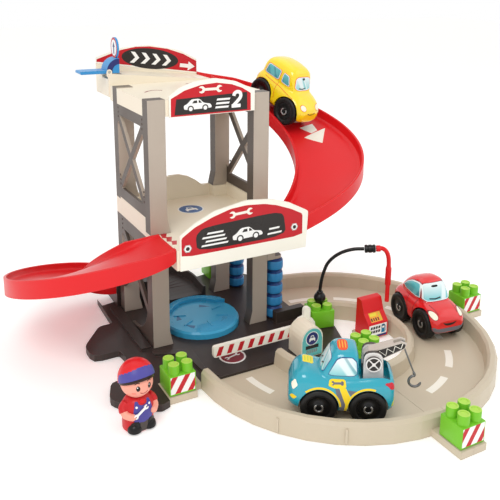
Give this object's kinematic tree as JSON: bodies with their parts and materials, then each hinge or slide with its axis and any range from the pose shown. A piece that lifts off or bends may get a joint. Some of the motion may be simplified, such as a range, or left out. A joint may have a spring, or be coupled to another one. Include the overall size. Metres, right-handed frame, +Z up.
{
  "type": "toy_garage",
  "caption": "Toy parking garage: open decks on crossed frames, curved slides, a turntable, a wash lane and a ring road with a fuel pump, toy vehicles and a figure.",
  "frame": {"origin": "the centre of the tower's footprint, on the surface that the toy stands on", "axes": "+X to the tower's right, +Y to its rear, +Z up"},
  "size_m": [0.5882, 0.5152, 0.3717],
  "materials": {
    "cream_plastic": "satin moulded",
    "taupe_plastic": "satin moulded with paler front faces",
    "dark_plastic": "satin moulded",
    "road_plastic": "satin moulded",
    "red_plastic": "glossy moulded",
    "blue_plastic": "glossy moulded",
    "roller_plastic": "satin moulded, ribbed",
    "green_plastic": "glossy moulded",
    "teal_plastic": "glossy moulded",
    "yellow_plastic": "glossy moulded",
    "black_plastic": "satin moulded",
    "grey_plastic": "satin moulded",
    "navy_plastic": "glossy moulded",
    "skin_plastic": "soft gloss",
    "steel": "plain drawn wire"
  },
  "bodies": {
    "garage": {"brick_centre": "green_plastic", "brick_front": "green_plastic", "brick_inner": "green_plastic", "brick_left": "green_plastic", "brick_rear": "green_plastic", "brick_right": "green_plastic", "deck_1": "cream_plastic", "deck_2": "cream_plastic", "frame_lower_left": "taupe_plastic", "frame_lower_right": "taupe_plastic", "frame_upper_left": "taupe_plastic", "frame_upper_right": "taupe_plastic", "fuel_pump": "red_plastic", "garage_base": "dark_plastic", "rear_ramp": "dark_plastic", "road_lock_rear": "road_plastic", "road_lock_right": "road_plastic", "road_quarter_front": "road_plastic", "road_quarter_rear": "road_plastic", "road_quarter_right": "road_plastic", "roller_bracket_front": "taupe_plastic", "roller_bracket_rear": "taupe_plastic", "sign_panel_lower": "cream_plastic", "sign_panel_start": "cream_plastic", "sign_panel_upper": "cream_plastic", "slide_lower": "red_plastic", "slide_upper": "red_plastic", "start_lever_pin": "steel", "ticket_booth": "cream_plastic"},
    "lever": {"start_lever": "blue_plastic"},
    "table": {"turntable": "blue_plastic"},
    "roller_front": {"wash_roller_front": "roller_plastic"},
    "roller_rear": {"wash_roller_rear": "roller_plastic"},
    "barrier": {"barrier_arm": "cream_plastic"},
    "hose_arm": {"hose_plug": "black_plastic", "hose_tube": "black_plastic", "hose_coupler": "black_plastic", "fuel_nozzle": "red_plastic"},
    "yellow_car": {"yellow_car_body": "yellow_plastic", "yellow_car_chassis": "grey_plastic"},
    "yellow_rear_wheels": {"yellow_car_wheels_rear": "black_plastic"},
    "yellow_front_wheels": {"yellow_car_wheels_front": "black_plastic"},
    "red_car": {"red_car_body": "red_plastic", "red_car_chassis": "grey_plastic"},
    "red_rear_wheels": {"red_car_wheels_rear": "black_plastic"},
    "red_front_wheels": {"red_car_wheels_front": "black_plastic"},
    "truck": {"truck_body": "teal_plastic", "truck_chassis": "grey_plastic", "crane_housing": "grey_plastic"},
    "truck_rear_wheels": {"truck_wheels_rear": "black_plastic"},
    "truck_front_wheels": {"truck_wheels_front": "black_plastic"},
    "winch": {"winch_wheel": "cream_plastic"},
    "boom": {"crane_boom": "grey_plastic"},
    "hook": {"crane_hook": "steel"},
    "figure": {"figure_body": "navy_plastic", "figure_head": "skin_plastic", "figure_cap": "red_plastic"}
  },
  "joints": [
    {"name": "lever_tilt", "type": "hinge", "parent": "garage", "child": "lever", "pos_m": [-0.078, 0.0885, 0.329], "axis": [0, -1, 0], "range_deg": [0, 25]},
    {"name": "turntable_spin", "type": "hinge", "parent": "garage", "child": "table", "pos_m": [0.002, -0.024, 0.0053], "axis": [0, 0, 1], "continuous": true},
    {"name": "roller_front_spin", "type": "hinge", "parent": "garage", "child": "roller_front", "pos_m": [0.0935, -0.055, 0.0085], "axis": [0, 0, 1], "continuous": true},
    {"name": "roller_rear_spin", "type": "hinge", "parent": "garage", "child": "roller_rear", "pos_m": [0.0935, 0.055, 0.0085], "axis": [0, 0, 1], "continuous": true},
    {"name": "barrier_lift", "type": "hinge", "parent": "garage", "child": "barrier", "pos_m": [0.0885, -0.1391, 0.029], "axis": [0, 1, 0], "range_deg": [0, 80]},
    {"name": "hose_swing", "type": "hinge", "parent": "garage", "child": "hose_arm", "pos_m": [0.136, -0.101, 0.04475], "axis": [0, 0, 1], "range_deg": [0, 100]},
    {"name": "yellow_car_lift", "type": "slide", "parent": "garage", "child": "yellow_car", "axis": [0, 0, 1], "range_m": [0, 0.08]},
    {"name": "yellow_rear_axle", "type": "hinge", "parent": "yellow_car", "child": "yellow_rear_wheels", "pos_m": [0.15552, 0.06382, 0.29138], "axis": [0.9418, 0.3323, -0.0499], "continuous": true},
    {"name": "yellow_front_axle", "type": "hinge", "parent": "yellow_car", "child": "yellow_front_wheels", "pos_m": [0.16933, 0.02131, 0.26896], "axis": [0.9418, 0.3323, -0.0499], "continuous": true},
    {"name": "red_car_lift", "type": "slide", "parent": "garage", "child": "red_car", "axis": [0, 0, 1], "range_m": [0, 0.08]},
    {"name": "red_rear_axle", "type": "hinge", "parent": "red_car", "child": "red_rear_wheels", "pos_m": [0.26235, -0.14219, 0.0243], "axis": [0.9925, -0.1219, 0], "continuous": true},
    {"name": "red_front_axle", "type": "hinge", "parent": "red_car", "child": "red_front_wheels", "pos_m": [0.25625, -0.19181, 0.0243], "axis": [0.9925, -0.1219, 0], "continuous": true},
    {"name": "truck_lift", "type": "slide", "parent": "garage", "child": "truck", "axis": [0, 0, 1], "range_m": [0, 0.08]},
    {"name": "truck_rear_axle", "type": "hinge", "parent": "truck", "child": "truck_rear_wheels", "pos_m": [0.07318, -0.28249, 0.0243], "axis": [-0.515, -0.8572, 0], "continuous": true},
    {"name": "truck_front_axle", "type": "hinge", "parent": "truck", "child": "truck_front_wheels", "pos_m": [0.03032, -0.25674, 0.0243], "axis": [-0.515, -0.8572, 0], "continuous": true},
    {"name": "winch_spin", "type": "hinge", "parent": "truck", "child": "winch", "pos_m": [0.0718, -0.2945, 0.0678], "axis": [-0.515, -0.8572, 0], "continuous": true},
    {"name": "boom_tilt", "type": "hinge", "parent": "truck", "child": "boom", "pos_m": [0.07661, -0.28455, 0.0713], "axis": [-0.515, -0.8572, 0], "range_deg": [-10, 40]},
    {"name": "hook_swing", "type": "hinge", "parent": "boom", "child": "hook", "pos_m": [0.10302, -0.30042, 0.08567], "axis": [-0.515, -0.8572, 0], "range_deg": [-10, 30]},
    {"name": "figure_lift", "type": "slide", "parent": "garage", "child": "figure", "axis": [0, 0, 1], "range_m": [0, 0.06]}
  ]
}
